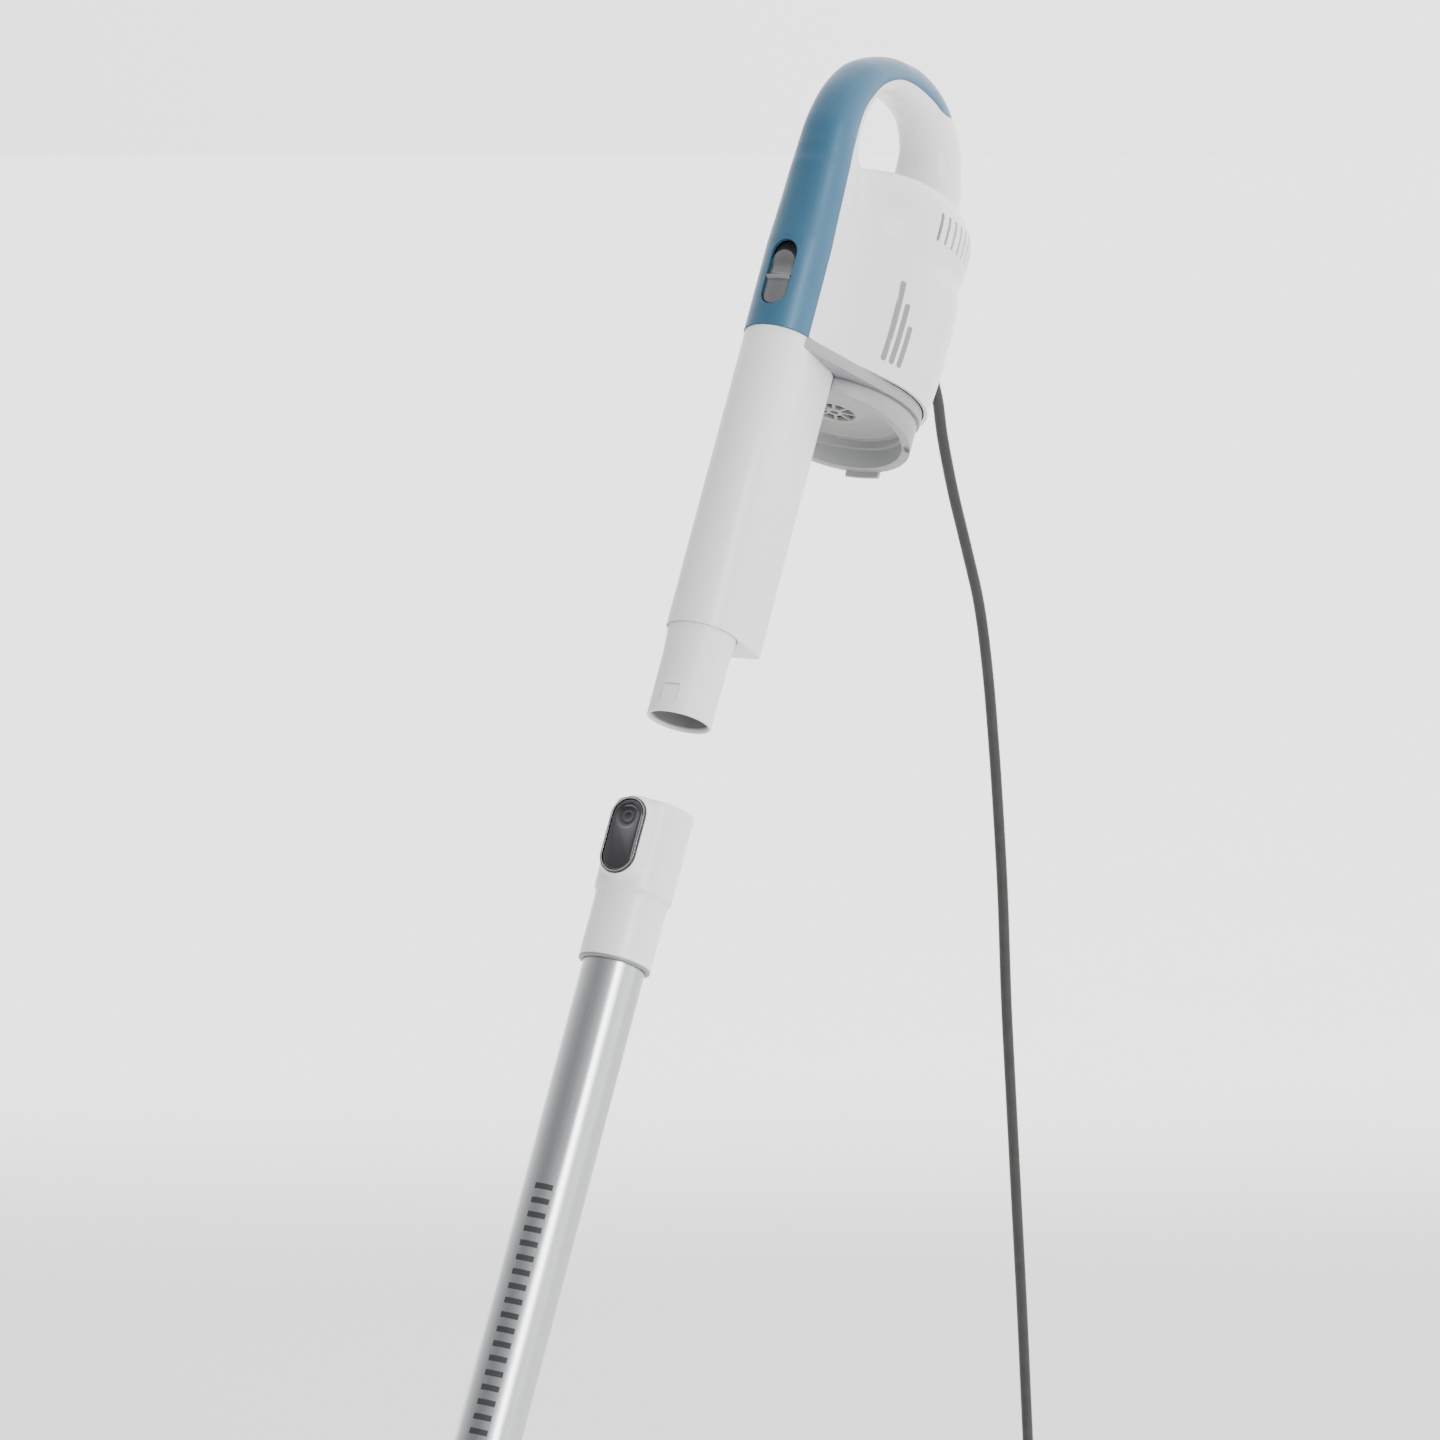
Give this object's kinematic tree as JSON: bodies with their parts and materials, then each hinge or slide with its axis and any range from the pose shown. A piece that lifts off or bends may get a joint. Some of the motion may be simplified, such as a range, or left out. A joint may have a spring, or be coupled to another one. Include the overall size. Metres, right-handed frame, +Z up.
{
  "type": "corded stick vacuum",
  "caption": "Stick vacuum hand unit with loop handle and mains cord, its tube wand pulled off the inlet pipe, on a swivelling floor head; the dust cup is off.",
  "frame": {"origin": "middle of the grip, where a hand holds the loop handle", "axes": "+Z up, against gravity, with the wand leaning 28.5 degrees back; +X to the user's side, where the cord leaves; +Y to the user's right-hand side seen from the front"},
  "size_m": [0.8573, 0.235, 1.01],
  "materials": {
    "white_shell": "soft satin gloss",
    "blue_shell": "pearl gloss",
    "grey_plastic": "satin",
    "silver_plastic": "satin silver paint",
    "dark_plastic": "fine texture",
    "smoke_gloss": "polished",
    "bright_trim": "polished",
    "satin_tube": "anodised satin",
    "bright_aluminium": "as machined",
    "pressed_steel": "plated",
    "iron_core": "laminated, varnished",
    "copper": "enamelled copper",
    "plated_brass": "nickel plated",
    "board_green": "solder mask",
    "soft_seal": "matte",
    "filter_paper": "felted",
    "cord_jacket": "matte",
    "tie_fabric": "woven hook tape",
    "bristle": "short nylon bristle"
  },
  "bodies": {
    "hand_unit": {"body_shell_left": "white_shell", "body_shell_right": "white_shell", "spine_cover": "blue_shell", "duct": "white_shell", "inlet_pipe": "white_shell", "seat_ring": "grey_plastic", "motor_guard": "grey_plastic", "cup_catch": "grey_plastic", "guard_seal": "soft_seal", "exhaust_filter": "filter_paper", "fan_shroud": "pressed_steel", "motor_can": "pressed_steel", "stator_core": "iron_core", "field_coils": "copper", "front_bearing": "pressed_steel", "rear_bearing": "pressed_steel", "front_mount": "soft_seal", "rear_mount": "soft_seal", "carbon_brushes": "dark_plastic", "switch_housing": "dark_plastic", "circuit_board": "board_green", "internal_wires": "cord_jacket", "cord_clamp": "dark_plastic", "clamp_screws": "pressed_steel", "strain_relief": "cord_jacket", "shell_screws": "pressed_steel", "power_cord": "cord_jacket", "cord_coil": "cord_jacket", "cord_tie": "tie_fabric", "cord_tail": "cord_jacket", "plug_body": "cord_jacket", "plug_pins": "plated_brass"},
    "rotor": {"rotor_shaft": "pressed_steel", "rotor_core": "iron_core", "commutator": "copper", "impeller": "bright_aluminium"},
    "power_switch": {"switch_slider": "silver_plastic"},
    "wand": {"wand_tube": "satin_tube", "wand_collar": "white_shell", "button_bezel": "bright_trim", "button_pin": "pressed_steel", "button_spring": "pressed_steel", "foot_collar": "white_shell"},
    "wand_button": {"release_button": "smoke_gloss"},
    "neck": {"neck_pipe": "grey_plastic", "neck_elbow": "dark_plastic"},
    "floor_head": {"head_cover": "white_shell", "head_base": "dark_plastic", "front_bumper": "soft_seal", "brush_strips": "bristle", "wheel_axles": "pressed_steel"},
    "left_wheel": {"wheel_left": "soft_seal"},
    "right_wheel": {"wheel_right": "soft_seal"}
  },
  "joints": [
    {"name": "wand_slide", "type": "slide", "parent": "hand_unit", "child": "wand", "axis": [0.4772, 0, 0.8788], "range_m": [0, 0.104]},
    {"name": "rotor_spin", "type": "hinge", "parent": "hand_unit", "child": "rotor", "pos_m": [-0.06065, 0, -0.12637], "axis": [0.4772, 0, 0.8788], "continuous": true},
    {"name": "switch_slide", "type": "slide", "parent": "hand_unit", "child": "power_switch", "axis": [0.4772, 0, 0.8788], "range_m": [0, 0.005]},
    {"name": "button_press", "type": "hinge", "parent": "wand", "child": "wand_button", "pos_m": [-0.31874, 0, -0.39361], "axis": [0, 1, 0], "range_deg": [0, 5], "stiffness_Nm_per_rad": 0.4, "springref_deg": -6.88},
    {"name": "neck_swivel", "type": "hinge", "parent": "wand", "child": "neck", "pos_m": [-0.5673, 0, -0.89814], "axis": [0.4772, 0, 0.8788], "range_deg": [-45, 45]},
    {"name": "head_pitch", "type": "hinge", "parent": "neck", "child": "floor_head", "pos_m": [-0.59737, 0, -0.95351], "axis": [0, 1, 0], "range_deg": [-45, 28]},
    {"name": "left_wheel_spin", "type": "hinge", "parent": "floor_head", "child": "left_wheel", "pos_m": [-0.57237, -0.085, -0.974], "axis": [0, 1, 0], "continuous": true},
    {"name": "right_wheel_spin", "type": "hinge", "parent": "floor_head", "child": "right_wheel", "pos_m": [-0.57237, 0.085, -0.974], "axis": [0, 1, 0], "continuous": true}
  ]
}
